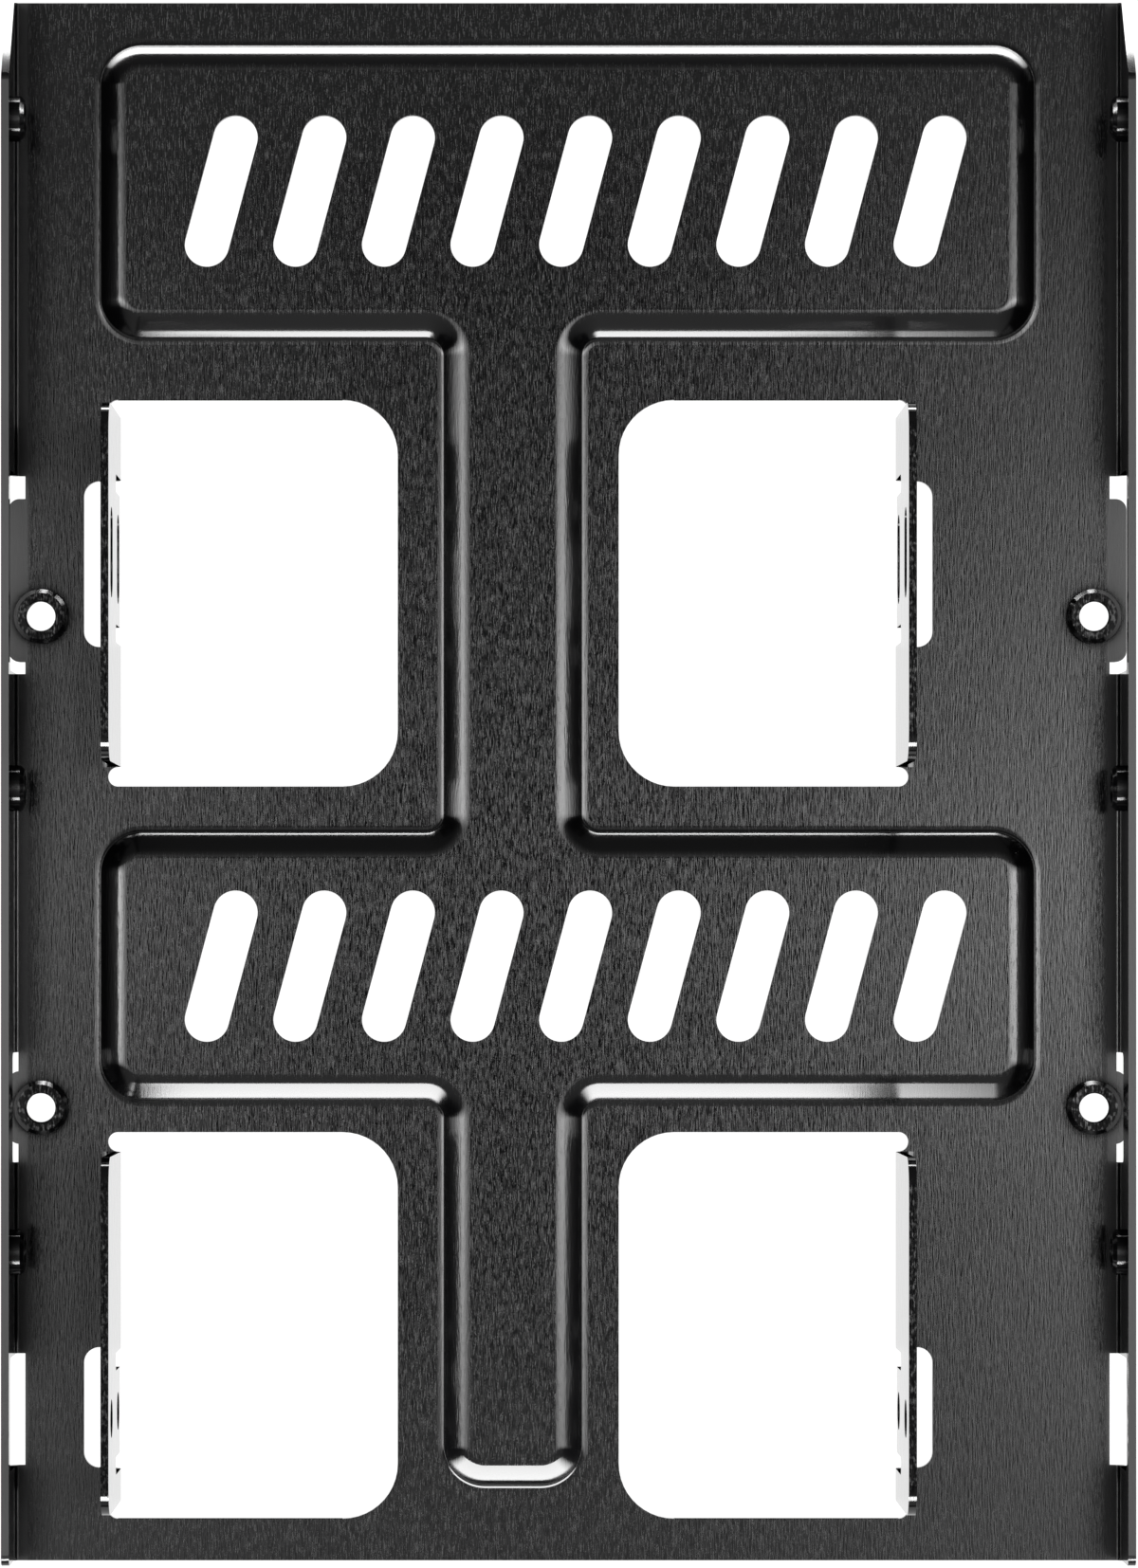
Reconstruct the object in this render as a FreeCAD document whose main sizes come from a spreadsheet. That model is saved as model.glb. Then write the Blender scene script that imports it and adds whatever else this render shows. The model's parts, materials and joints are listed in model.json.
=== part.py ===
"""Dual drive mounting bracket: one folded steel sheet.

A flat plate the width of a 3.5 inch drive has two low side flanges, four upright tabs that form a
cage for two stacked 2.5 inch drives, a raised double-T stiffening rib with two rows of vents, and
tapped collars for the mounting screws. Lengths are millimetres. The origin is on the underside at
the middle of the plate: +X to the right, +Y to the rear, +Z up, the way the flanges and tabs fold.
"""
import FreeCAD, Part
import math
import os
import Sketcher

NODE = "drive_bracket"
ORIGIN = -1
START, END, CENTRE = 1, 2, 3
MATCH = 1e-4

doc = FreeCAD.newDocument("bracket")
sheet = doc.addObject("Spreadsheet::Sheet", "Dims")
body = doc.addObject("PartDesign::Body", NODE)
body.Label = NODE


class Size:
    """A length with its present value and the sheet expression that drives it."""

    def __init__(self, value, text):
        self.value = value
        self.text = text

    def __add__(self, other):
        return Size(self.value + other.value, f"({self.text} + {other.text})")

    def __sub__(self, other):
        return Size(self.value - other.value, f"({self.text} - {other.text})")

    def __neg__(self):
        return Size(-self.value, f"(0 - {self.text})")

    def __mul__(self, factor):
        return Size(self.value * factor, f"({self.text} * {factor})")

    def __truediv__(self, divisor):
        return Size(self.value / divisor, f"({self.text} / {divisor})")


cells = []


def dim(alias, value):
    """Write one driving dimension to the next row of the sheet."""
    cells.append(alias)
    row = len(cells)
    sheet.set(f"A{row}", alias)
    sheet.set(f"B{row}", str(value))
    sheet.setAlias(f"B{row}", alias)
    return Size(value, f"Dims.{alias}")


# Sheet and side flanges
thick = dim("sheet_thickness", 0.7)
width = dim("plate_width", 101.2)
length = dim("plate_length", 141)
flange_height = dim("flange_height", 9.7)
bend = dim("flange_bend_radius", 0.25)
setback = dim("flange_end_setback", 0.25)
nose_length = dim("nose_length", 7.5)
nose_height = dim("nose_height", 3.2)
flange_corner = dim("flange_corner_radius", 1.0)

# Raised double-T rib
rib_height = dim("rib_height", 1.5)
rib_draft = dim("rib_draft_angle", 45)
rib_crown = dim("rib_crown_radius", 2.0)
rib_crease = dim("rib_crease_radius", 0.2)
rib_corner = dim("rib_corner_radius", 3.6)
rib_joint = dim("rib_joint_radius", 1.8)
bar_reach = dim("bar_half_width", 42.1)
rear_bar_rear = dim("rear_bar_rear_edge", 66.55)
rear_bar_front = dim("rear_bar_front_edge", 40.3)
mid_bar_rear = dim("middle_bar_rear_edge", -4.7)
mid_bar_front = dim("middle_bar_front_edge", -28.7)
stem_left = dim("stem_left_edge", -11.05)
stem_right = dim("stem_right_edge", 1.15)
stem_front = dim("stem_front_edge", -63.6)

# Sloping vents in both bars
vent_width = dim("vent_width", 4)
vent_length = dim("vent_length", 14)
vent_tilt = dim("vent_tilt_angle", 15)
vent_pitch = dim("vent_pitch", 8)
vent_count = dim("vent_count", 9)
vent_middle = dim("vent_row_middle", 0.72)
vent_front_row = dim("vent_front_row", -16.7)
vent_row_gap = dim("vent_row_gap", 70)

# Drive cage: openings, tabs and their screw holes
cage_middle = dim("cage_middle", -5.36)
cage_width = dim("cage_width", 70)
web_width = dim("web_width", 20)
opening_corner = dim("opening_corner_radius", 5)
rear_opening = dim("rear_opening_middle", 17.07)
front_opening = dim("front_opening_middle", -49.23)
tab_length = dim("tab_length", 31.5)
tab_height = dim("tab_height", 20.7)
tab_bend = dim("tab_bend_radius", 1.0)
tab_corner = dim("tab_corner_radius", 2.8)
relief_width = dim("relief_width", 1.75)
relief_reach = dim("relief_reach", 1.21)
screw_radius = dim("drive_screw_hole_radius", 1.7)
lower_drive = dim("lower_drive_hole_height", 6.1)
drive_pitch = dim("drive_pitch", 10)
rear_slot = dim("rear_slot_middle", 19.8)
rear_slot_length = dim("rear_slot_length", 8)
front_hole = dim("front_hole_position", -56.6)

# Windows at the feet of the tabs, with a tongue that holds the lower screw hole
window_reach = dim("tab_window_reach", 3.4)
window_corner = dim("tab_window_corner_radius", 1.4)
rear_window_rear = dim("rear_tab_window_rear", 27.2)
rear_window_front = dim("rear_tab_window_front", 12.2)
front_window_rear = dim("front_tab_window_rear", -51.2)
front_window_front = dim("front_tab_window_front", -62.1)
notch_width = dim("tab_notch_width", 1.6)
notch_top = dim("tab_notch_top", 9.5)
notch_corner = dim("tab_notch_corner_radius", 0.6)
tongue_foot = dim("tab_tongue_foot", 3.2)

# Windows through the side bends, for a screwdriver and for the mounting collars
access_inner = dim("access_inner_edge", 49.07)
access_top = dim("access_top", 8.1)
access_corner = dim("access_corner_radius", 0.7)
rear_access_rear = dim("rear_access_rear", 27.7)
rear_access_front = dim("rear_access_front", 9.75)
front_access_rear = dim("front_access_rear", -51.75)
front_access_front = dim("front_access_front", -61.9)
collar_window_inner = dim("collar_window_inner_edge", 49.7)
collar_window_top = dim("collar_window_top", 4.9)
collar_window_rear = dim("collar_window_rear", -24.5)
collar_window_front = dim("collar_window_front", -34.45)
rear_tongue_rear = dim("rear_tongue_rear", 25.6)
rear_tongue_front = dim("rear_tongue_front", 10.85)
front_tongue_rear = dim("front_tongue_rear", -26.2)
front_tongue_front = dim("front_tongue_front", -32.8)
tongue_corner = dim("tongue_corner_radius", 1.0)

# Tapped collars
tap_radius = dim("tap_radius", 1.4)
collar_radius = dim("collar_radius", 2.45)
collar_height = dim("collar_height", 1.0)
collar_edge = dim("collar_edge_bevel", 0.35)
tap_mouth = dim("tap_mouth_bevel", 0.35)
collar_spacing = dim("collar_spacing_across", 95.25)
collar_rear = dim("collar_rear_position", 14.95)
collar_pitch = dim("collar_pitch_along", 44.45)
side_collar_radius = dim("side_collar_radius", 2.05)
side_collar_height = dim("side_collar_height", 1.2)
side_tap_height = dim("side_tap_height", 6.35)
side_tap_rear = dim("side_tap_rear_position", 59.25)
side_tap_middle = dim("side_tap_middle_position", -0.75)
side_tap_front = dim("side_tap_front_position", -42.35)

# Room for a cut to run past the metal
past = dim("cut_overrun", 1)
doc.recompute()


def origin_item(role):
    """The body's own origin plane or axis of this role."""
    return next(item for item in body.Origin.OriginFeatures if item.Role == role)


def sketch(name, plane, across=None, up=None, out=None):
    """A sketch on an origin plane, shifted along the plane's own axes and its normal."""
    item = body.newObject("Sketcher::SketchObject", name)
    item.AttachmentSupport = [(origin_item(plane), "")]
    item.MapMode = "FlatFace"
    for axis, shift in (("x", across), ("y", up), ("z", out)):
        if shift is not None:
            item.setExpression(f"AttachmentOffset.Base.{axis}", shift.text)
    return item


def constrain(item, kind, *terms, size):
    """Add one dimension to a sketch and drive it from the sheet."""
    index = item.addConstraint(Sketcher.Constraint(kind, *terms, size.value))
    name = f"dim{index}"
    item.renameConstraint(index, name)
    item.setExpression(f"Constraints.{name}", size.text)


def place(item, geometry, point, x, y):
    """Hold one point of a sketch's geometry at a distance from the sketch origin."""
    constrain(item, "DistanceX", ORIGIN, START, geometry, point, size=x)
    constrain(item, "DistanceY", ORIGIN, START, geometry, point, size=y)


def arc(item, x, y, radius, start, end):
    """An arc with its centre and radius driven from the sheet."""
    centre = FreeCAD.Vector(x.value, y.value, 0)
    circle = Part.Circle(centre, FreeCAD.Vector(0, 0, 1), radius.value)
    geometry = item.addGeometry(Part.ArcOfCircle(circle, start, end))
    place(item, geometry, CENTRE, x, y)
    constrain(item, "Radius", geometry, size=radius)
    return geometry


def heading(start, end):
    """Unit direction from one corner to the next."""
    step_x = end[0].value - start[0].value
    step_y = end[1].value - start[1].value
    span = math.hypot(step_x, step_y)
    return step_x / span, step_y / span


def outline(item, corners):
    """Close an outline through corners (x, y) or, where square to the axes, (x, y, radius)."""
    ends = []
    for index, corner in enumerate(corners):
        x, y = corner[:2]
        if len(corner) == 2:
            ends.append((x.value, y.value, x.value, y.value, None))
            continue
        radius = corner[2]
        into = heading(corners[index - 1], corner)
        away = heading(corner, corners[(index + 1) % len(corners)])
        centre_x = x + radius * round(away[0] - into[0])
        centre_y = y + radius * round(away[1] - into[1])
        enter = math.atan2(-away[1], -away[0])
        leave = math.atan2(into[1], into[0])
        left_turn = into[0] * away[1] > into[1] * away[0]
        if left_turn:
            curve = arc(item, centre_x, centre_y, radius, enter, leave)
            joints = (curve, START, END)
        else:
            curve = arc(item, centre_x, centre_y, radius, leave, enter)
            joints = (curve, END, START)
        reach = radius.value
        ends.append((x.value - reach * into[0], y.value - reach * into[1],
                     x.value + reach * away[0], y.value + reach * away[1], joints))
    lines = []
    for index, (_, _, from_x, from_y, _) in enumerate(ends):
        to_x, to_y = ends[(index + 1) % len(ends)][:2]
        start = FreeCAD.Vector(from_x, from_y, 0)
        lines.append(item.addGeometry(Part.LineSegment(start, FreeCAD.Vector(to_x, to_y, 0))))
    for index, corner in enumerate(corners):
        before, after = lines[index - 1], lines[index]
        joints = ends[index][4]
        if joints is None:
            item.addConstraint(Sketcher.Constraint("Coincident", before, END, after, START))
            place(item, after, START, *corner)
        else:
            curve, first, last = joints
            item.addConstraint(Sketcher.Constraint("Tangent", before, END, curve, first))
            item.addConstraint(Sketcher.Constraint("Tangent", curve, last, after, START))


def rectangle(item, left, low, right, high):
    """A rectangle with square corners."""
    outline(item, [(left, low), (right, low), (right, high), (left, high)])


def stadium(item, x, y, span, radius):
    """A round-ended slot along the sketch's own x axis, `span` between its end centres."""
    left, right = x - span / 2, x + span / 2
    near = arc(item, left, y, radius, math.pi / 2, 3 * math.pi / 2)
    far = arc(item, right, y, radius, -math.pi / 2, math.pi / 2)
    for start, end, sign in ((near, far, -1), (far, near, 1)):
        from_x = left.value if start == near else right.value
        to_x = right.value if start == near else left.value
        level = y.value + sign * radius.value
        side = item.addGeometry(Part.LineSegment(FreeCAD.Vector(from_x, level, 0),
                                                 FreeCAD.Vector(to_x, level, 0)))
        item.addConstraint(Sketcher.Constraint("Tangent", start, END, side, START))
        item.addConstraint(Sketcher.Constraint("Tangent", side, END, end, START))


def circle(item, x, y, radius):
    """A full circle with its centre and radius driven from the sheet."""
    centre = FreeCAD.Vector(x.value, y.value, 0)
    geometry = item.addGeometry(Part.Circle(centre, FreeCAD.Vector(0, 0, 1), radius.value))
    place(item, geometry, CENTRE, x, y)
    constrain(item, "Radius", geometry, size=radius)


def extrude(kind, profile, depth, both_ways=False, backwards=False, draft=None):
    """Pad or pocket a sketch, and make sure that it added or removed metal."""
    doc.recompute()
    before = body.Shape.Volume if body.Tip else 0
    feature = body.newObject(f"PartDesign::{kind}", f"{profile.Name}_{kind.lower()}")
    feature.Profile = profile
    feature.setExpression("Length", depth.text)
    feature.SideType = "Symmetric" if both_ways else "One side"
    feature.Reversed = backwards
    if draft is not None:
        feature.setExpression("TaperAngle", draft.text)
    doc.recompute()
    change = body.Shape.Volume - before
    if (change > 0) != (kind == "Pad") or abs(change) < MATCH:
        raise RuntimeError(f"{feature.Name} changed the volume by {change:.3f}")
    return feature


def pad(profile, depth, **options):
    return extrude("Pad", profile, depth, **options)


def pocket(profile, depth, **options):
    return extrude("Pocket", profile, depth, **options)


def dress(kind, property_name, name, size, chosen):
    """Round or bevel every edge of the body that the test picks."""
    doc.recompute()
    base = body.Tip
    names = [f"Edge{i}" for i, edge in enumerate(base.Shape.Edges, 1) if chosen(edge)]
    feature = body.newObject(f"PartDesign::{kind}", name)
    feature.Base = (base, names)
    feature.setExpression(property_name, size.text)
    body.Tip = feature
    doc.recompute()


def fillet(name, radius, chosen):
    dress("Fillet", "Radius", name, radius, chosen)


def chamfer(name, size, chosen):
    dress("Chamfer", "Size", name, size, chosen)


def mirror(name, originals, plane):
    """Repeat features on the other side of a plane."""
    feature = body.newObject("PartDesign::Mirrored", name)
    feature.Originals = originals
    feature.MirrorPlane = plane
    body.Tip = feature
    doc.recompute()


def level(edge, height):
    """True for an edge that lies flat at this height."""
    box = edge.BoundBox
    return abs(box.ZMin - height) < MATCH and abs(box.ZMax - height) < MATCH


def inside(edge, reach_x, reach_y):
    """True for an edge within these distances of the origin."""
    box = edge.BoundBox
    return max(abs(box.XMin), abs(box.XMax)) < reach_x and max(abs(box.YMin), abs(box.YMax)) < reach_y


def rim(edge, radius):
    """True for a full circle of this radius."""
    return abs(edge.Length - math.tau * radius.value) < MATCH


zero = thick - thick
half_width = width / 2
half_length = length / 2
flange_face = half_width - thick


def fold_channel():
    """The plate with its two side flanges, as one bent section."""
    section = sketch("channel", "XZ_Plane")
    outer = bend + thick
    outline(section, [
        (-half_width, flange_height), (-half_width, zero, outer), (half_width, zero, outer),
        (half_width, flange_height), (flange_face, flange_height), (flange_face, thick, bend),
        (-flange_face, thick, bend), (-flange_face, flange_height)])
    pad(section, length, both_ways=True)


def trim_flange_ends():
    """Flanges stop short of the plate's ends, and their rear corners slope down."""
    bend_top = thick + bend
    over = flange_height + past
    rear = half_length - setback
    front = setback - half_length
    side = sketch("flange_ends", "YZ_Plane")
    outline(side, [
        (rear, bend_top), (half_length + past, bend_top), (half_length + past, over),
        (rear - nose_length, over), (rear - nose_length, flange_height), (rear, nose_height)])
    rectangle(side, -half_length - past, bend_top, front, over)
    pocket(side, width + past, both_ways=True)
    fillet("flange_corners", flange_corner,
           lambda edge: level(edge, flange_height.value) and edge.Length < thick.value + MATCH)


def rib_outline(name, inset, height):
    """The double-T outline, drawn in from the crease by an inset."""
    shape = sketch(name, "XY_Plane", out=height)
    left, right = inset - bar_reach, bar_reach - inset
    stem_west, stem_east = stem_left + inset, stem_right - inset
    top, under = rear_bar_rear - inset, rear_bar_front + inset
    mid_top, mid_under = mid_bar_rear - inset, mid_bar_front + inset
    foot = stem_front + inset
    corner = rib_corner - inset
    joint = rib_joint + inset
    outline(shape, [
        (left, top, corner), (left, under, corner), (stem_west, under, joint),
        (stem_west, mid_top, joint), (left, mid_top, corner), (left, mid_under, corner),
        (stem_west, mid_under, joint), (stem_west, foot, corner), (stem_east, foot, corner),
        (stem_east, mid_under, joint), (right, mid_under, corner), (right, mid_top, corner),
        (stem_east, mid_top, joint), (stem_east, under, joint), (right, under, corner),
        (right, top, corner)])
    return shape


def emboss_rib():
    """The rib stands up from the plate, and the underside is hollow to match."""
    pad(rib_outline("rib_crease", zero, thick), rib_height, draft=-rib_draft)
    crown = thick.value + rib_height.value
    fillet("rib_crown", rib_crown, lambda edge: level(edge, crown))
    reach_x, reach_y = bar_reach.value + MATCH, rear_bar_rear.value + MATCH
    fillet("rib_foot", rib_crease,
           lambda edge: level(edge, thick.value) and inside(edge, reach_x, reach_y))
    half_slope = math.radians((90 - rib_draft.value) / 2)
    inset = Size(thick.value * math.tan(half_slope),
                 f"({thick.text} * tan((90 - {rib_draft.text}) / 2 * 1 deg))")
    pocket(rib_outline("rib_hollow", inset, zero), rib_height, backwards=True, draft=-rib_draft)
    fillet("rib_hollow_floor", rib_crown - thick, lambda edge: level(edge, rib_height.value))
    fillet("rib_hollow_rim", rib_crease + thick,
           lambda edge: level(edge, 0) and inside(edge, reach_x, reach_y))


def cut_vents():
    """Nine sloping round-ended vents in each bar."""
    half_row = Size(vent_pitch.value * (vent_count.value - 1) / 2,
                    f"({vent_pitch.text} * ({vent_count.text} - 1) / 2)")
    slot = sketch("vent", "XY_Plane", across=vent_middle - half_row, up=vent_front_row)
    upright = Size(90, "90")
    slot.setExpression("AttachmentOffset.Rotation.Angle", (upright - vent_tilt).text)
    stadium(slot, zero, zero, vent_length - vent_width, vent_width / 2)
    first = pocket(slot, flange_height, both_ways=True)
    rows = body.newObject("PartDesign::LinearPattern", "vent_rows")
    rows.Originals = [first]
    rows.Direction = (origin_item("X_Axis"), [""])
    rows.Mode = "Spacing"
    rows.setExpression("Offset", vent_pitch.text)
    rows.setExpression("Occurrences", vent_count.text)
    rows.Direction2 = (origin_item("Y_Axis"), [""])
    rows.setExpression("Length2", vent_row_gap.text)
    rows.Occurrences2 = 2
    body.Tip = rows
    doc.recompute()


def cut_openings():
    """The left pair of openings that the tabs are cut from, with reliefs at both tab ends."""
    plan = sketch("openings", "XY_Plane", across=cage_middle)
    face = -cage_width / 2
    inner = -web_width / 2
    bend_line = face - thick - tab_bend
    relief = relief_width / 2
    for middle in (rear_opening, front_opening):
        tab_rear, tab_front = middle + tab_length / 2, middle - tab_length / 2
        rear, front = tab_rear + relief_width, tab_front - relief_width
        outline(plan, [
            (inner, front, opening_corner), (inner, rear, opening_corner), (face, rear),
            (face, tab_rear), (bend_line, tab_rear), (bend_line, tab_front),
            (face, tab_front), (face, front)])
    first = pocket(plan, thick + past, both_ways=True)
    slots = sketch("reliefs", "XY_Plane", across=cage_middle)
    tip = face - relief_reach + relief
    for middle in (rear_opening, front_opening):
        for end in (middle + tab_length / 2 + relief, middle - tab_length / 2 - relief):
            stadium(slots, tip + relief_width / 2, end, relief_width, relief)
    return [first, pocket(slots, thick + past, both_ways=True)]


def fold_tabs():
    """The left pair of tabs, bent up from the outer edges of their openings."""
    features = []
    face = -cage_width / 2
    root = face - thick - tab_bend - past
    for name, middle in (("rear_tab", rear_opening), ("front_tab", front_opening)):
        section = sketch(name, "XZ_Plane", across=cage_middle, out=-middle)
        outline(section, [
            (root, zero), (face, zero, tab_bend + thick), (face, tab_height),
            (face - thick, tab_height), (face - thick, thick, tab_bend), (root, thick)])
        features.append(pad(section, tab_length, both_ways=True))
    return features


def cut_tab_windows():
    """Windows at the tabs' feet, notched upwards on both sides of a hanging tongue."""
    face = -cage_width / 2
    windows = ((rear_window_front, rear_window_rear), (front_window_front, front_window_rear))
    plan = sketch("tab_windows", "XY_Plane", across=cage_middle)
    outer = face - window_reach
    for front, rear in windows:
        outline(plan, [(face + past, front), (face + past, rear), (outer, rear, window_corner),
                       (outer, front, window_corner)])
    features = [pocket(plan, tongue_foot * 2, both_ways=True)]
    side = sketch("tab_notches", "YZ_Plane", out=cage_middle + face - thick / 2)
    for front, rear in windows:
        for near, far in ((front, front + notch_width), (rear - notch_width, rear)):
            outline(side, [(near, thick), (far, thick), (far, notch_top, notch_corner),
                           (near, notch_top, notch_corner)])
    features.append(pocket(side, tab_bend * 2 + thick, both_ways=True))
    return features


def build_cage():
    """Openings and tabs on the left, repeated on the right of the cage's middle."""
    features = cut_openings() + fold_tabs() + cut_tab_windows()
    middle = sketch("cage_mirror", "XY_Plane", across=cage_middle)
    mirror("cage_pair", features, (middle, ["V_Axis"]))
    holes = sketch("drive_screws", "YZ_Plane", out=cage_middle)
    for height in (lower_drive, lower_drive + drive_pitch):
        stadium(holes, rear_slot, height, rear_slot_length - screw_radius * 2, screw_radius)
        circle(holes, front_hole, height, screw_radius)
    pocket(holes, cage_width + thick * 4, both_ways=True)
    top = tab_height.value
    fillet("tab_corners", tab_corner,
           lambda edge: level(edge, top) and edge.Length < thick.value + MATCH)


def cut_side_windows():
    """Right-hand windows through the bend, and the flat tongues that stay in them."""
    access = sketch("access_windows", "YZ_Plane", out=access_inner)
    for front, rear in ((rear_access_front, rear_access_rear),
                        (front_access_front, front_access_rear)):
        outline(access, [(front, -past), (rear, -past), (rear, access_top, access_corner),
                         (front, access_top, access_corner)])
    features = [pocket(access, half_width - access_inner + past, backwards=True)]
    small = sketch("collar_windows", "YZ_Plane", out=collar_window_inner)
    outline(small, [(collar_window_front, -past), (collar_window_rear, -past),
                    (collar_window_rear, collar_window_top, access_corner),
                    (collar_window_front, collar_window_top, access_corner)])
    features.append(pocket(small, half_width - collar_window_inner + past, backwards=True))
    tongues = sketch("tongues", "XY_Plane")
    root = access_inner - past
    for front, rear in ((rear_tongue_front, rear_tongue_rear),
                        (front_tongue_front, front_tongue_rear)):
        outline(tongues, [(root, front), (half_width, front, tongue_corner),
                          (half_width, rear, tongue_corner), (root, rear)])
    features.append(pad(tongues, thick))
    return features


def raise_collars():
    """Right-hand tapped collars: two on the plate and three on the flange."""
    across = collar_spacing / 2
    plate_spots = [(across, collar_rear), (across, collar_rear - collar_pitch)]
    flange_spots = [(y, side_tap_height) for y in (side_tap_rear, side_tap_middle, side_tap_front)]
    rings = sketch("plate_collars", "XY_Plane", out=thick)
    taps = sketch("plate_taps", "XY_Plane")
    side_rings = sketch("flange_collars", "YZ_Plane", out=flange_face)
    side_taps = sketch("flange_taps", "YZ_Plane", out=half_width)
    for spot in plate_spots:
        circle(rings, *spot, collar_radius)
        circle(taps, *spot, tap_radius)
    for spot in flange_spots:
        circle(side_rings, *spot, side_collar_radius)
        circle(side_taps, *spot, tap_radius)
    return [pad(rings, collar_height), pad(side_rings, side_collar_height, backwards=True),
            pocket(taps, thick + collar_height + past, backwards=True),
            pocket(side_taps, thick + side_collar_height + past)]


def build_sides():
    """Windows, tongues and collars on the right, repeated on the left."""
    features = cut_side_windows() + raise_collars()
    mirror("side_pair", features, (origin_item("YZ_Plane"), [""]))
    collar_top = thick.value + collar_height.value
    collar_face = flange_face.value - side_collar_height.value
    chamfer("collar_edges", collar_edge,
            lambda edge: rim(edge, collar_radius) and level(edge, collar_top)
            or rim(edge, side_collar_radius) and abs(abs(edge.BoundBox.XMin) - collar_face) < MATCH)
    chamfer("tap_mouths", tap_mouth,
            lambda edge: rim(edge, tap_radius)
            and (level(edge, 0) or abs(abs(edge.BoundBox.XMin) - half_width.value) < MATCH))


fold_channel()
trim_flange_ends()
emboss_rib()
cut_vents()
build_cage()
build_sides()

for item in doc.Objects:
    if "Invalid" in item.State or "Error" in item.State:
        raise RuntimeError(f"{item.Name} is {item.State}")
shape = body.Shape
if shape.isNull() or not shape.isValid() or len(shape.Solids) != 1:
    raise RuntimeError("the bracket is not one valid solid")

box = shape.BoundBox
print(f"{NODE}: {box.XLength:.2f} x {box.YLength:.2f} x {box.ZLength:.2f} mm, {shape.Volume:.0f} mm3")
os.makedirs("parts", exist_ok=True)
shape.exportStep(f"parts/{NODE}.step")
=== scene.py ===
"""Looks of the dual drive mounting bracket: satin black steel with a fine lengthwise grain, on a white table.

The frame brings the folded sheet itself. This script gives it its paint, cuts screw threads into the tapped
collars, lays a thin skin over the raised rib's formed edge, and sets a straight-down camera, a white table
and soft lights. Lengths are metres unless a name says otherwise; +X is the right of the photograph, +Y its
top, and +Z points to the camera.
"""
import json
import math

import bmesh
import bpy
from mathutils import Matrix, Vector


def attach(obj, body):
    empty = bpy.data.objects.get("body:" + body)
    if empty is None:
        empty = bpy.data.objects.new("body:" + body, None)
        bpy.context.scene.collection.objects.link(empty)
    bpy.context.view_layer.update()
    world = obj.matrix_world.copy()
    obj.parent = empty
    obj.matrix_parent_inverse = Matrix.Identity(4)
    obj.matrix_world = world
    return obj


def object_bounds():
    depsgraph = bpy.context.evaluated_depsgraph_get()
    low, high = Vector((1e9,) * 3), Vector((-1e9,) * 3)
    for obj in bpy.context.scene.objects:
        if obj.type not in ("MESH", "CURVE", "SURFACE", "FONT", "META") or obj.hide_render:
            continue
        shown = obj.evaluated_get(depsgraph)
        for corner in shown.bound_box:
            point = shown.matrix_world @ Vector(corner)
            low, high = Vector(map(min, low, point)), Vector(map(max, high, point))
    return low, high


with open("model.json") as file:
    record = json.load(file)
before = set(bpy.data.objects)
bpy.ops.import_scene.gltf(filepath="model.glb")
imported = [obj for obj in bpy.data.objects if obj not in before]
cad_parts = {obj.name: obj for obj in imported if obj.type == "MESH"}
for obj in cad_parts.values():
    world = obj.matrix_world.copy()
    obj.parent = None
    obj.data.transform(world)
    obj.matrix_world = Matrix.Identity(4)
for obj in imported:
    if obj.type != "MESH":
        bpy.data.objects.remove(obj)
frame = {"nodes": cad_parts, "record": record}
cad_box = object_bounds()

MM = 0.001
BODY = "root"
bracket = frame["nodes"]["drive_bracket"]
mounts = {mount["name"]: mount for mount in frame["record"]["mounts"]}

# The photograph's frame in pixels, and what its perspective says about the lens
PHOTO_WIDTH, PHOTO_HEIGHT = 1200, 1654
NADIR_X, NADIR_Y = 523, 1022
ORIGIN_X, ORIGIN_Y = 598.4, 824.6
PIXELS_PER_MM = 11.65
SHEET = 0.7 * MM
LENS_HEIGHT = 589 * MM
SENSOR_MM = 36
CLIP_START = 10 * MM

# Tapped collars: height above the sheet, and a thread of 32 turns to the inch
PLATE_COLLAR = 1.0 * MM
FLANGE_COLLAR = 1.2 * MM
PITCH = 25.4 / 32 * MM
THREAD_DEPTH = 0.09 * MM
THREAD_ROOT = 0.34 * MM
THREAD_CREST = 0.16 * MM
THREAD_SEAT = 0.02 * MM
THREAD_FADE = 1 / 8
MOUTH = 0.35 * MM
STEPS_PER_TURN = 40

# Outline of the raised double-T rib at its foot
BAR_REACH = 42.1 * MM
REAR_BAR = (40.3 * MM, 66.55 * MM)
MIDDLE_BAR = (-28.7 * MM, -4.7 * MM)
STEM = (-11.05 * MM, 1.15 * MM)
STEM_FRONT = -63.6 * MM
RIB_CORNER = 3.6 * MM
RIB_JOINT = 1.8 * MM
CORNER_STEPS = 16

# Section of the rib's edge: crown and wall, angles in degrees, and the lip that the forming left at its foot
RIB_HEIGHT = 1.5 * MM
RIB_CROWN = 2.0 * MM
RIB_DRAFT = 45
WALL_TOP_ANGLE, WALL_FOOT_ANGLE = 28, 46
ARC_STEPS = 8
LIP_CREST = ((0.19 * MM, 0.12 * MM), (0.15 * MM, 0.125 * MM), (0.11 * MM, 0.06 * MM))
LIP_SHOULDER = 0.27 * MM
LIP_REACH = 0.95 * MM
LIP_RISE = 0.06 * MM
LIP_CURVE = 2.5
LIP_STEPS = 6
SKIN = 0.006 * MM

# Paint: noise cells to the millimetre across, along and up
STREAK_CELLS = (16, 1, 1)
SPECKLE_CELLS = (16, 8, 8)
WAVE_CELLS = (9, 0.8, 0.8)
FLECK_CELLS = (4, 2, 4)
CLOUD_CELLS = (0.03, 0.02, 0.03)

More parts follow.
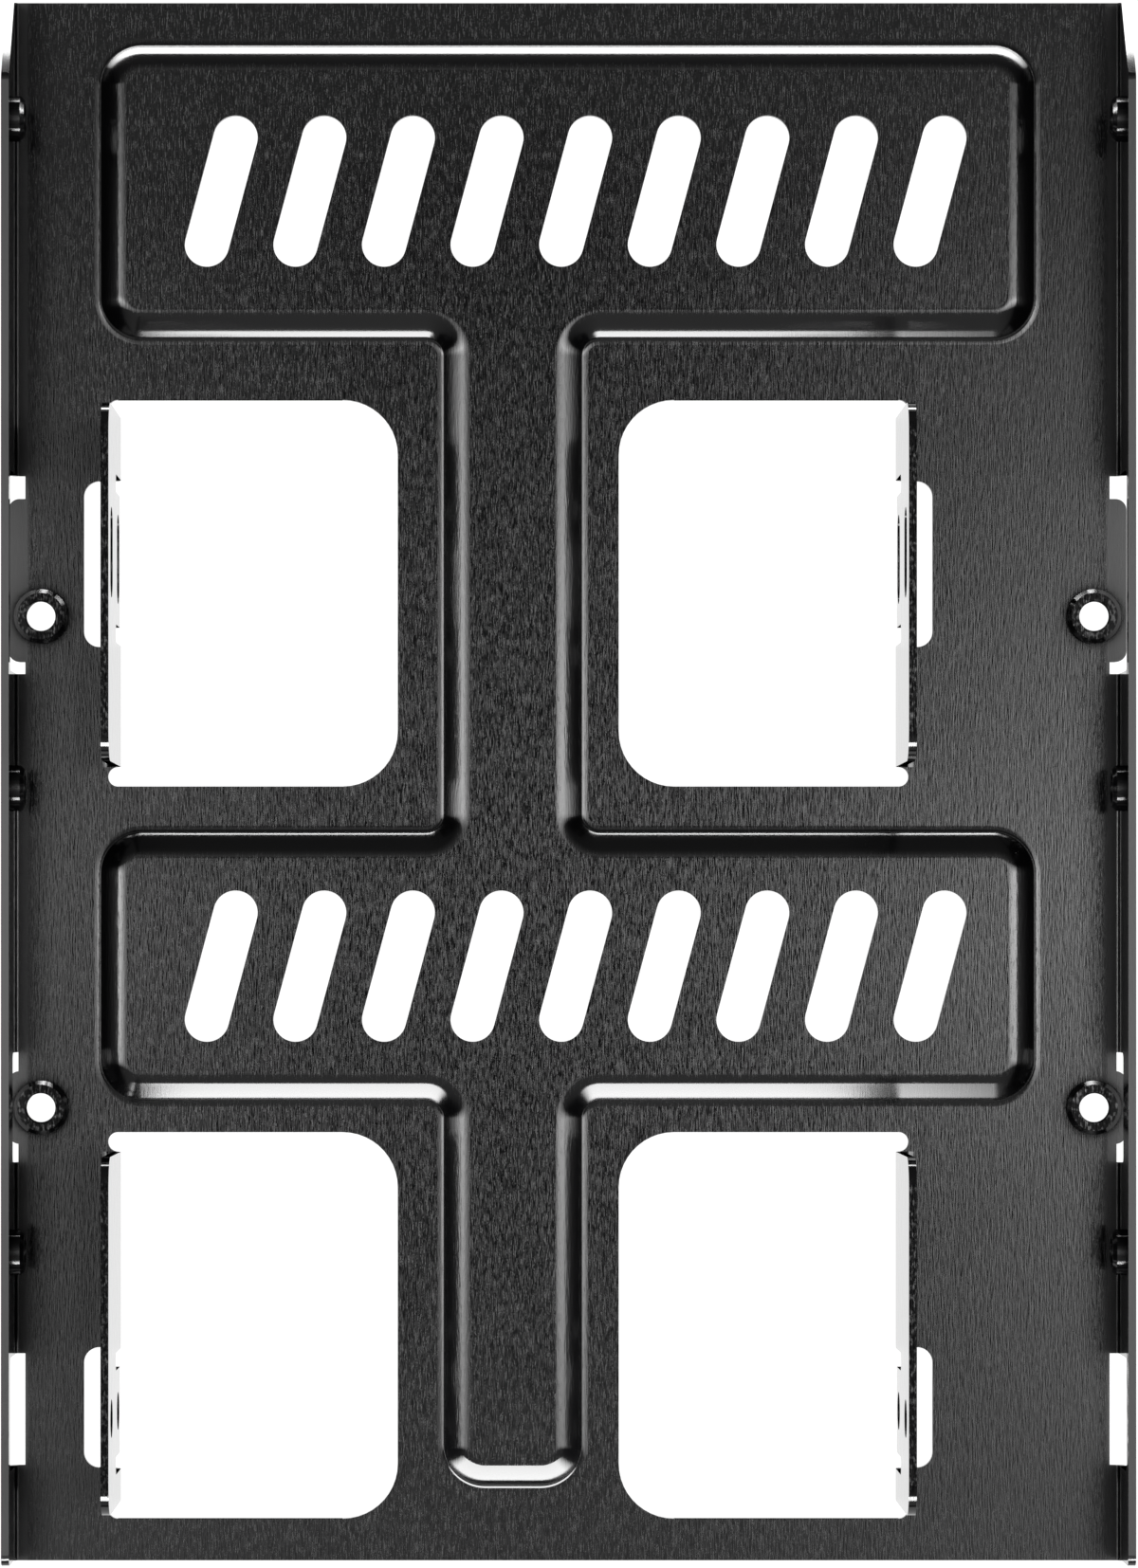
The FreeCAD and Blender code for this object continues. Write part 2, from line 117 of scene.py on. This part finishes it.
# Paint: the streaks' share in the grain, the noise levels that count as grain, its colours and its ripples
STREAK_SHARE = 0.65
GRAIN_RANGE = (0.535, 0.64)
BLACK = (0.0008, 0.0008, 0.0009, 1)
GRAIN_BLACK = (0.004, 0.004, 0.0041, 1)
WAVE_HEIGHT = 0.012 * MM
WAVE_FACING, WAVE_STRENGTH = (0.1, 0.4), (1.0, 0.2)

# Paint: roughness, and how far up a face points where it counts as formed and as flat
SMOOTH = 0.04
FORMED = 0.13
GRAIN_ROUGHNESS = 0.44
CLOUD_RANGE, CLOUD_ROUGHNESS = (0.3, 0.7), (-0.01, 0.01)
FORMED_FACING = (0.3, 0.6)
FLAT_FACING = (0.9, 0.998)
ANISOTROPY = 0.8

# Paint: gloss of the faces and of the cut edges, and painted shade that dims the corners at the flanges' feet
FACE_GLOSS = 0.5
TAB_TOP = (12 * MM, 14 * MM)
COLLAR_SLACK = 0.1 * MM
FLECK_RANGE, FLECK_GLOSS = (0.5, 0.7), (0.06, 0.7)
SKY_REACH = 4 * MM
SKY_RAYS = 2
# Painted shade at the flanges' feet: how near the flanges it falls, and the gloss left where the sky is shut
# out
FLANGE_SIDE = (42 * MM, 45 * MM)
CORNER_SKY, CORNER_SHADE = (0.58, 0.95), (0.03, 1.0)

# Paint: painted light on the tongues of plate in the flange windows, as far out as the flanges' feet but
# under open sky
TONGUE_SIDE = (48.4 * MM, 49.2 * MM)
TONGUE_SKY, TONGUE_LIGHT = (0.8, 0.95), (0.0, 0.9)

# Table: it glows, so it stays white under the part
TABLE_HALF_SIZE = 3
TABLE_DROP = 0.02 * MM
TABLE_GREY = 0.08
TABLE_ROUGHNESS = 0.6
TABLE_GLOW = 1.02

# Softboxes beside the camera: degrees off the vertical, with the share of full brightness there
SOFTBOX_REACH = 82
SOFTBOX_LENGTH = 0.5
FILL_LENGTH = 3
LOW_GLOW = ((63, 0.5), (72, 0.14), (SOFTBOX_REACH, 0.02))
RIGHT_GLOW = ((0, 0), (3, 0.005), (8, 0.3), (20, 0.8), (46, 1), (54, 0.9)) + LOW_GLOW
LEFT_GLOW = ((0, 0), (3, 0.005), (6, 0.16), (16, 0.25), (30, 0.6), (44, 1), (54, 0.95)) + LOW_GLOW
REAR_GLOW = ((0, 0), (9, 0.1), (15, 1), (30, 0.45), (45, 0.2), (SOFTBOX_REACH, 0.1))
FRONT_GLOW = ((0, 0), (4, 0.05), (8, 1), (SOFTBOX_REACH, 1))

# Strips and lamps near the part, and every light's brightness, with a full white as 1
REAR_STRIP_PLACE, REAR_STRIP_SIZE = (0, 0.095, 0.004), (0.18, 0.008)
FRONT_STRIP_PLACE, FRONT_STRIP_SIZE = (-0.01, -0.095, 0.027), (0.125, 0.042)
STRIP_PLATEAU = 0.6
LAMP_SIDE, LAMP_FRONT, LAMP_HEIGHT = 0.07, -0.3, 0.2
LAMP_SIZE = (0.05, 0.09)
RIGHT_SOFTBOX, LEFT_SOFTBOX = 12, 13
REAR_FILL, FRONT_FILL = 0.6, 0.5
REAR_STRIP, FRONT_STRIP = 25, 20
FRONT_LAMP = 45
ROOM_GLOW = 0.04


def set_camera():
    """A camera straight above the photograph's nadir, shifted to its framing."""
    data = bpy.data.cameras.new("camera")
    data.sensor_width = SENSOR_MM
    focal_pixels = PIXELS_PER_MM / MM * LENS_HEIGHT
    data.lens = SENSOR_MM * focal_pixels / PHOTO_HEIGHT
    data.shift_x = (PHOTO_WIDTH / 2 - NADIR_X) / PHOTO_HEIGHT
    data.shift_y = (NADIR_Y - PHOTO_HEIGHT / 2) / PHOTO_HEIGHT
    data.clip_start = CLIP_START
    data.dof.use_dof = False
    camera = bpy.data.objects.new("camera", data)
    camera.location = ((NADIR_X - ORIGIN_X) / PIXELS_PER_MM * MM,
                       (ORIGIN_Y - NADIR_Y) / PIXELS_PER_MM * MM,
                       SHEET + LENS_HEIGHT)
    bpy.context.scene.collection.objects.link(camera)
    bpy.context.scene.camera = camera


class Nodes:
    """Short calls for building the node tree of a material or a light."""

    def __init__(self, owner, shader):
        owner.use_nodes = True
        self.tree = owner.node_tree
        self.shader = self.tree.nodes[shader]

    def add(self, kind, inputs=None, **settings):
        node = self.tree.nodes.new(f"ShaderNode{kind}")
        for key, value in settings.items():
            setattr(node, key, value)
        for key, value in (inputs or {}).items():
            if isinstance(value, bpy.types.NodeSocket):
                self.tree.links.new(value, node.inputs[key])
            else:
                node.inputs[key].default_value = value
        return node

    def noise(self, where, cells_per_mm, detail=2.0):
        """Noise with so many cells to the millimetre along each axis, from 0 to 1."""
        scale = [cells / MM for cells in cells_per_mm]
        placed = self.add("Mapping", {"Vector": where, "Scale": scale})
        texture = self.add("TexNoise", {"Vector": placed.outputs["Vector"], "Scale": 1.0, "Detail": detail})
        return texture.outputs["Fac"]

    def spread(self, value, source, target=(0.0, 1.0)):
        """A value carried from one range to another, held at its ends."""
        node = self.add("MapRange", {"Value": value, "From Min": source[0], "From Max": source[1],
                                     "To Min": target[0], "To Max": target[1]})
        return node.outputs["Result"]

    def mix(self, share, first, second):
        """The first value where the share is 0, the second where it is 1."""
        return self.add("Mix", {"Factor": share, "A": first, "B": second}).outputs["Result"]

    def math(self, operation, first, second=0.0, third=0.0):
        node = self.add("Math", {0: first, 1: second, 2: third}, operation=operation)
        return node.outputs["Value"]

    def split(self, vector):
        """The X, Y and Z of a vector."""
        return self.add("SeparateXYZ", {"Vector": vector}).outputs

    def link(self, output, socket):
        self.tree.links.new(output, self.shader.inputs[socket])


def rolled_grain(nodes, where):
    """Fine lengthwise streaks broken up by a speckle, from 0 between them to 1 in them."""
    streaks = nodes.math("MULTIPLY", nodes.noise(where, STREAK_CELLS, detail=1.0), STREAK_SHARE)
    speckle = nodes.math("MULTIPLY", nodes.noise(where, SPECKLE_CELLS, detail=1.0), 1 - STREAK_SHARE)
    return nodes.spread(nodes.math("ADD", streaks, speckle), GRAIN_RANGE)


def painted_tongue_light(nodes, outer, open_sky):
    """Painted light: the tongues of plate in the flange windows, painted even and lighter where the sky is
    open.
    """
    side = nodes.spread(outer, TONGUE_SIDE)
    return nodes.math("MULTIPLY", side, nodes.spread(open_sky, TONGUE_SKY, TONGUE_LIGHT))


def paint_roughness(nodes, where, upward, flat, grain):
    """Smooth between the streaks, rougher in them and on formed slopes."""
    slopes = nodes.spread(upward, FORMED_FACING, (SMOOTH, FORMED))
    clouds = nodes.spread(nodes.noise(where, CLOUD_CELLS), CLOUD_RANGE, CLOUD_ROUGHNESS)
    smooth = nodes.math("ADD", nodes.mix(flat, slopes, SMOOTH), clouds)
    return nodes.math("ADD", smooth, nodes.math("MULTIPLY", grain, GRAIN_ROUGHNESS))


def paint_ripples(nodes, where, lengthwise):
    """Low lengthwise ripples, fainter on slopes that face along the sheet."""
    waves = nodes.noise(where, WAVE_CELLS, detail=1.0)
    strength = nodes.spread(nodes.math("ABSOLUTE", lengthwise), WAVE_FACING, WAVE_STRENGTH)
    bump = nodes.add("Bump", {"Height": waves, "Distance": WAVE_HEIGHT, "Strength": strength})
    return bump.outputs["Normal"]


def cut_edges(nodes, height, flat):
    """The cut edges on top of the tabs and of the plate's collars."""
    collars = nodes.math("COMPARE", height, SHEET + PLATE_COLLAR, COLLAR_SLACK)
    tabs = nodes.spread(height, TAB_TOP)
    return nodes.math("MULTIPLY", nodes.math("MAXIMUM", collars, tabs), flat)


def gloss_and_corner_shade(nodes, where, cut, outer, open_sky):
    """Dull and flecked on cut edges, with painted shade that dims the reflection in the corners at the
    flanges' feet.
    """
    flecks = nodes.spread(nodes.noise(where, FLECK_CELLS), FLECK_RANGE, FLECK_GLOSS)
    gloss = nodes.mix(cut, FACE_GLOSS, flecks)
    # Painted shade: the reflection is cut nearly to nothing in the corners where the flanges shut out the
    # sky.
    corners = nodes.spread(open_sky, CORNER_SKY, CORNER_SHADE)
    clear = nodes.mix(nodes.spread(outer, FLANGE_SIDE), 1.0, corners)
    return nodes.math("MULTIPLY", gloss, clear)


def paint_steel():
    """Satin black paint that shows the sheet's rolled grain, dull on cut edges, with painted shade at the
    flanges' feet and painted light on the window tongues.
    """
    material = bpy.data.materials.new("satin_black_steel")
    nodes = Nodes(material, "Principled BSDF")
    where = nodes.add("TexCoord").outputs["Object"]
    facing = nodes.add("NewGeometry").outputs["Normal"]
    place, slope = nodes.split(where), nodes.split(facing)
    outer = nodes.math("ABSOLUTE", place["X"])
    upward = nodes.math("ABSOLUTE", slope["Z"])
    flat = nodes.spread(upward, FLAT_FACING)
    # Open sky drives the painted shade at the flanges' feet and the painted light on the window tongues.
    open_sky = nodes.add("AmbientOcclusion", {"Distance": SKY_REACH}, samples=SKY_RAYS).outputs["AO"]
    # Painted light: the window tongues join the grain here, so they take the grain's lighter black.
    grain_and_tongue_light = nodes.math("MAXIMUM", rolled_grain(nodes, where), painted_tongue_light(nodes, outer, open_sky))
    grain = nodes.math("MULTIPLY", grain_and_tongue_light, flat)
    # Base colour: near black, lighter in the grain's streaks and as painted light on the window tongues.
    colour = nodes.add("MixRGB", {"Fac": grain, "Color1": BLACK, "Color2": GRAIN_BLACK})
    across = nodes.add("VectorMath", {0: (0, 1, 0), 1: facing}, operation="CROSS_PRODUCT")
    cut = cut_edges(nodes, place["Z"], flat)
    nodes.link(colour.outputs["Color"], "Base Color")
    nodes.link(paint_roughness(nodes, where, upward, flat, grain), "Roughness")
    nodes.link(paint_ripples(nodes, where, slope["Y"]), "Normal")
    nodes.link(gloss_and_corner_shade(nodes, where, cut, outer, open_sky), "Specular IOR Level")
    nodes.link(across.outputs["Vector"], "Tangent")
    nodes.shader.inputs["Anisotropic"].default_value = ANISOTROPY
    return material


def add_piece(name, mesh, material):
    """A painted piece of the bracket, from a finished mesh."""
    data = bpy.data.meshes.new(name)
    mesh.to_mesh(data)
    mesh.free()
    data.materials.append(material)
    piece = bpy.data.objects.new(name, data)
    bpy.context.scene.collection.objects.link(piece)
    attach(piece, BODY)
    return piece


def tapped_holes():
    """Mouth, outward axis and wall length of every tapped hole, from the record's mounts."""
    holes = []
    base = mounts["base_screws"]
    middle = Vector(base["pos_m"])
    for side in (-0.5, 0.5):
        for end in (-0.5, 0.5):
            x = middle.x + side * base["dims"]["spacing_x_mm"] * MM
            y = middle.y + end * base["dims"]["spacing_y_mm"] * MM
            holes.append((Vector((x, y, 0)), Vector((0, 0, -1)), SHEET + PLATE_COLLAR))
    for side in ("left", "right"):
        pair, single = mounts[f"{side}_side_screws"], mounts[f"{side}_middle_screw"]
        axis = Vector(pair["axis"])
        half = pair["dims"]["spacing_x_mm"] / 2 * MM
        wall = cad_box[1].x * axis.x
        centre = Vector(pair["pos_m"])
        for y in (centre.y - half, single["pos_m"][1], centre.y + half):
            holes.append((Vector((wall, y, centre.z)), axis, SHEET + FLANGE_COLLAR))
    return holes


def cut_thread(name, mouth, axis, length, radius, material):
    """A helical ridge seated on a tapped hole's wall, fading out at both ends."""
    travel = length - MOUTH - THREAD_ROOT
    turns = travel / PITCH
    count = round(turns * STEPS_PER_TURN)
    seat = radius + THREAD_SEAT
    mesh = bmesh.new()
    rings = []
    for step in range(count + 1):
        share = step / count
        angle = math.tau * turns * share
        along = length - THREAD_ROOT / 2 - share * travel
        crest = radius - THREAD_DEPTH * min(1, share / THREAD_FADE, (1 - share) / THREAD_FADE)
        profile = ((seat, -THREAD_ROOT / 2), (crest, -THREAD_CREST / 2),
                   (crest, THREAD_CREST / 2), (seat, THREAD_ROOT / 2))
        rings.append([mesh.verts.new((math.cos(angle) * r, math.sin(angle) * r, -along + rise))
                      for r, rise in profile])
    for near, far in zip(rings, rings[1:]):
        for index in range(len(near)):
            after = (index + 1) % len(near)
            mesh.faces.new((near[index], near[after], far[after], far[index]))
    mesh.faces.new(rings[0])
    mesh.faces.new(reversed(rings[-1]))
    bmesh.ops.recalc_face_normals(mesh, faces=mesh.faces)
    mesh.transform(Matrix.Translation(mouth) @ axis.to_track_quat("Z", "Y").to_matrix().to_4x4())
    add_piece(name, mesh, material)


def add_threads(material):
    """A thread in every tapped hole."""
    radius = mounts["base_screws"]["dims"]["hole_r_mm"] * MM
    for number, (mouth, axis, length) in enumerate(tapped_holes(), 1):
        cut_thread(f"thread_{number:02d}", mouth, axis, length, radius, material)


def rib_corners():
    """Corners of the double-T rib, each with its radius: down its left side, then up its right."""
    corners = []
    for bar, stem, order in ((-BAR_REACH, STEM[0], 1), (BAR_REACH, STEM[1], -1)):
        side = [(bar, REAR_BAR[1], RIB_CORNER), (bar, REAR_BAR[0], RIB_CORNER),
                (stem, REAR_BAR[0], RIB_JOINT), (stem, MIDDLE_BAR[1], RIB_JOINT),
                (bar, MIDDLE_BAR[1], RIB_CORNER), (bar, MIDDLE_BAR[0], RIB_CORNER),
                (stem, MIDDLE_BAR[0], RIB_JOINT), (stem, STEM_FRONT, RIB_CORNER)]
        corners += [(Vector((x, y)), radius) for x, y, radius in side[::order]]
    return corners


def rounded_outline(corners):
    """Points along an outline with rounded corners, each with its outward direction."""
    places = [place for place, _ in corners]
    points = []
    for index, (place, radius) in enumerate(corners):
        into = (place - places[index - 1]).normalized()
        away = (places[(index + 1) % len(places)] - place).normalized()
        centre = place + (away - into) * radius
        turns_left = into.cross(away) > 0
        first, last = Vector((into.y, -into.x)), Vector((away.y, -away.x))
        for step in range(CORNER_STEPS + 1):
            outward = first.slerp(last, step / CORNER_STEPS)
            points.append((centre + outward * (radius if turns_left else -radius), outward))
    return points


def rib_profile():
    """The rib's edge from the plate inwards: a lip at its foot, a bowed wall and a round crown.

    Each point is its distance outside the foot's outline and its height above the plate.
    """
    profile = []
    for step in range(LIP_STEPS + 1):
        share = step / LIP_STEPS
        profile.append((LIP_REACH + (LIP_SHOULDER - LIP_REACH) * share,
                        LIP_RISE * share ** LIP_CURVE - SKIN * (1 - share)))
    profile += LIP_CREST
    edge = RIB_HEIGHT + RIB_CROWN * math.tan(math.radians(RIB_DRAFT / 2))
    top, foot = math.radians(WALL_TOP_ANGLE), math.radians(WALL_FOOT_ANGLE)
    join = (RIB_CROWN * math.sin(top) - edge, RIB_HEIGHT - RIB_CROWN * (1 - math.cos(top)))
    bow = (join[1] - LIP_CREST[-1][1]) / (math.cos(top) - math.cos(foot))
    for step in range(ARC_STEPS + 1):
        slope = foot + (top - foot) * step / ARC_STEPS
        profile.append((join[0] + bow * (math.sin(slope) - math.sin(top)),
                        join[1] - bow * (math.cos(top) - math.cos(slope)) + SKIN))
    for step in range(1, ARC_STEPS + 1):
        slope = top * (1 - step / ARC_STEPS)
        profile.append((RIB_CROWN * math.sin(slope) - edge,
                        RIB_HEIGHT - RIB_CROWN * (1 - math.cos(slope)) + SKIN))
    profile.append((-edge - LIP_SHOULDER, RIB_HEIGHT - SKIN))
    return profile


def skin_rib_edge(material):
    """The rib's formed edge, run all round its outline."""
    profile = rib_profile()
    mesh = bmesh.new()
    rings = [[mesh.verts.new((*(point + outward * reach), SHEET + height)) for reach, height in profile]
             for point, outward in rounded_outline(rib_corners())]
    for near, far in zip(rings, rings[1:] + rings[:1]):
        for index in range(len(profile) - 1):
            mesh.faces.new((near[index], far[index], far[index + 1], near[index + 1])).smooth = True
    bmesh.ops.recalc_face_normals(mesh, faces=mesh.faces)
    return add_piece("rib_edge", mesh, material)


def lay_table():
    """A plain white table under the part."""
    material = bpy.data.materials.new("white_table")
    nodes = Nodes(material, "Principled BSDF")
    nodes.shader.inputs["Base Color"].default_value = (TABLE_GREY, TABLE_GREY, TABLE_GREY, 1)
    nodes.shader.inputs["Roughness"].default_value = TABLE_ROUGHNESS
    nodes.shader.inputs["Emission Color"].default_value = (1, 1, 1, 1)
    nodes.shader.inputs["Emission Strength"].default_value = TABLE_GLOW
    mesh = bmesh.new()
    bmesh.ops.create_grid(mesh, x_segments=1, y_segments=1, size=TABLE_HALF_SIZE)
    data = bpy.data.meshes.new("table")
    mesh.to_mesh(data)
    mesh.free()
    data.materials.append(material)
    table = bpy.data.objects.new("table", data)
    table.location.z = -TABLE_DROP
    bpy.context.scene.collection.objects.link(table)


def add_light(name, place, aim, size, brightness):
    """A soft rectangular light that faces a point."""
    data = bpy.data.lights.new(name, "AREA")
    data.shape = "RECTANGLE"
    data.size, data.size_y = size
    data.energy = math.pi * data.size * data.size_y * brightness
    light = bpy.data.objects.new(name, data)
    light.location = place
    light.rotation_mode = "QUATERNION"
    light.rotation_quaternion = (Vector(place) - Vector(aim)).to_track_quat("Z", "Y")
    light.visible_camera = False
    bpy.context.scene.collection.objects.link(light)
    return light


def fade_ends(nodes, spot, plateau):
    """Full brightness within so much of a light's half length, then a fall to nothing at its ends."""
    off_middle = nodes.math("ABSOLUTE", nodes.math("SUBTRACT", spot["X"], 0.5))
    return nodes.spread(off_middle, (plateau / 2, 0.5), (1.0, 0.0))


def add_softbox(name, bearing, length, glow, brightness):
    """A softbox from overhead down one side, that follows its glow and fades towards its two ends."""
    half = math.radians(SOFTBOX_REACH / 2)
    way = math.radians(bearing)
    place = Vector((math.sin(half) * math.cos(way), math.sin(half) * math.sin(way), math.cos(half)))
    light = add_light(name, place, (0, 0, 0), (length, 2 * math.tan(half)), brightness)
    nodes = Nodes(light.data, "Emission")
    spot = nodes.split(nodes.add("NewGeometry").outputs["Parametric"])
    outwards = nodes.add("ValToRGB", {"Fac": spot["Y"]})
    stops = outwards.color_ramp.elements
    stops.remove(stops[1])
    for angle, share in glow:
        height = 0.5 - math.tan(math.radians(angle) - half) / math.tan(half) / 2
        stops.new(height).color = (share, share, share, 1)
    stops.remove(stops[0])
    nodes.link(nodes.math("MULTIPLY", outwards.outputs["Color"], fade_ends(nodes, spot, 0.0)), "Strength")


def add_strip(name, place, size, brightness):
    """A long low light that faces across the part and fades towards its two ends."""
    light = add_light(name, place, (place[0], 0, place[2]), size, brightness)
    nodes = Nodes(light.data, "Emission")
    spot = nodes.split(nodes.add("NewGeometry").outputs["Parametric"])
    nodes.link(fade_ends(nodes, spot, STRIP_PLATEAU), "Strength")
    return light


def shine_on(light, piece):
    """Keep a light to one piece."""
    receivers = bpy.data.collections.new(f"lit_by_{light.name}")
    receivers.objects.link(piece)
    light.light_linking.receiver_collection = receivers


def dim_room():
    """A faint even glow all round."""
    world = bpy.data.worlds.new("studio")
    world.use_nodes = True
    background = world.node_tree.nodes["Background"]
    background.inputs["Color"].default_value = (1, 1, 1, 1)
    background.inputs["Strength"].default_value = ROOM_GLOW
    bpy.context.scene.world = world


def set_lights(rib_edge):
    """Softboxes on four sides, a low strip at each end, and two front lamps for the sheet's glints."""
    add_softbox("right_softbox", 0, SOFTBOX_LENGTH, RIGHT_GLOW, RIGHT_SOFTBOX)
    add_softbox("left_softbox", 180, SOFTBOX_LENGTH, LEFT_GLOW, LEFT_SOFTBOX)
    add_softbox("rear_fill", 90, FILL_LENGTH, REAR_GLOW, REAR_FILL)
    add_softbox("front_fill", 270, FILL_LENGTH, FRONT_GLOW, FRONT_FILL)
    add_strip("rear_strip", REAR_STRIP_PLACE, REAR_STRIP_SIZE, REAR_STRIP)
    front_strip = add_strip("front_strip", FRONT_STRIP_PLACE, FRONT_STRIP_SIZE, FRONT_STRIP)
    shine_on(front_strip, rib_edge)
    for side, x in (("left", -LAMP_SIDE), ("right", LAMP_SIDE)):
        lamp = add_light(f"{side}_front_lamp", (x, LAMP_FRONT, LAMP_HEIGHT), (0, 0, 0), LAMP_SIZE, FRONT_LAMP)
        shine_on(lamp, bracket)


set_camera()
steel = paint_steel()
bracket.data.materials.clear()
bracket.data.materials.append(steel)
add_threads(steel)
rib_edge = skin_rib_edge(steel)
lay_table()
dim_room()
set_lights(rib_edge)
bpy.context.scene.view_settings.view_transform = "Standard"
